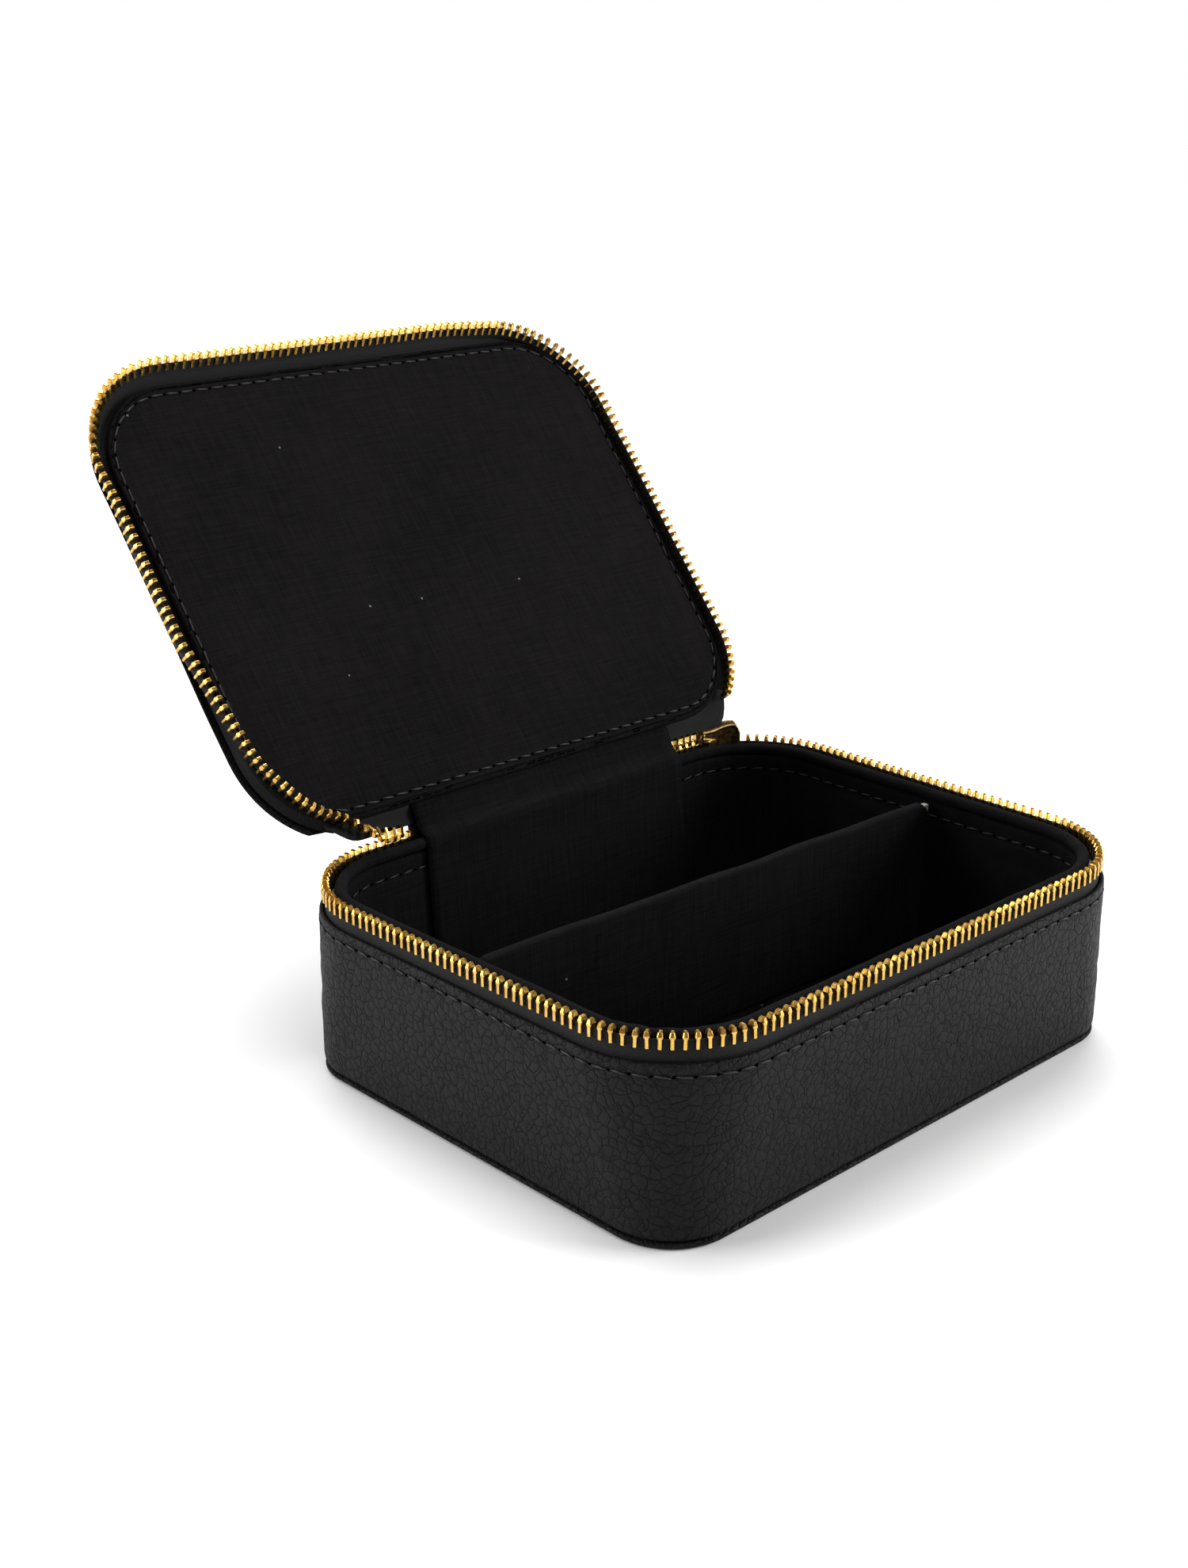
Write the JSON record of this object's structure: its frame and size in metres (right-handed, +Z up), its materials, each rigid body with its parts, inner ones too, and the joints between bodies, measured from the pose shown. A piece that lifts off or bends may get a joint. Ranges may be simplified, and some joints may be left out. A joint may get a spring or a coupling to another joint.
{
  "type": "jewellery case",
  "caption": "Zipped leather jewellery case: rounded rectangular tray with a fabric divider and a shallow padded lid on a soft hinge, closed by a metal zip.",
  "frame": {"origin": "under the middle of the base, on the surface it stands on", "axes": "+X along the hinge to the right, -Y to the front, +Z up; the lid stands open behind"},
  "size_m": [0.1704, 0.2194, 0.1603],
  "materials": {
    "leather": "pebbled matt",
    "lining_fabric": "fine plain weave",
    "zip_tape": "herringbone weave",
    "thread": "twisted thread",
    "zip_teeth": "polished",
    "slider_metal": "lacquered",
    "board": "grey board",
    "padding": "soft foam"
  },
  "bodies": {
    "base": {"base_bottom_leather": "leather", "base_side_leather": "leather", "base_floor_board": "board", "base_wall_board": "board", "base_wall_liner": "lining_fabric", "base_floor_pad": "lining_fabric", "base_collar": "lining_fabric", "base_rim_stitching": "thread", "base_liner_stitching": "thread", "divider_board": "board", "divider_cover": "lining_fabric", "zip_tape_base": "zip_tape", "zip_tape_end": "zip_tape", "zip_teeth_base": "zip_teeth", "zip_teeth_end": "zip_teeth", "zip_stops": "zip_teeth", "gusset_base": "lining_fabric", "spine_base": "leather"},
    "lid": {"zip_tape_lid": "zip_tape", "zip_teeth_lid": "zip_teeth", "lid_side_leather": "leather", "lid_top_leather": "leather", "lid_board": "board", "lid_padding": "padding", "lid_lining_panel": "lining_fabric", "lid_lining_stitching": "thread", "gusset_lid": "lining_fabric", "spine_lid": "leather"},
    "slider": {"zip_slider": "slider_metal"},
    "pull": {"pull_link": "slider_metal", "pull_tab": "slider_metal"}
  },
  "joints": [
    {"name": "lid_hinge", "type": "hinge", "parent": "base", "child": "lid", "pos_m": [0, 0.06569, 0.05407], "axis": [1, 0, 0], "range_deg": [0, 129.3], "deforming": ["zip_teeth_lid", "zip_tape_lid", "gusset_lid", "gusset_base", "spine_base", "spine_lid", "zip_tape_end"]},
    {"name": "slider_travel", "type": "hinge", "parent": "base", "child": "slider", "pos_m": [0.056, 0.039, 0.0493], "axis": [0, 0, 1], "range_deg": [-52, 11], "deforming": ["zip_teeth_base", "zip_teeth_end", "zip_tape_base"]},
    {"name": "pull_swing", "type": "hinge", "parent": "slider", "child": "pull", "pos_m": [0.06922, 0.06781, 0.0493], "axis": [0.9089, -0.4171, 0], "range_deg": [0, 100]}
  ]
}
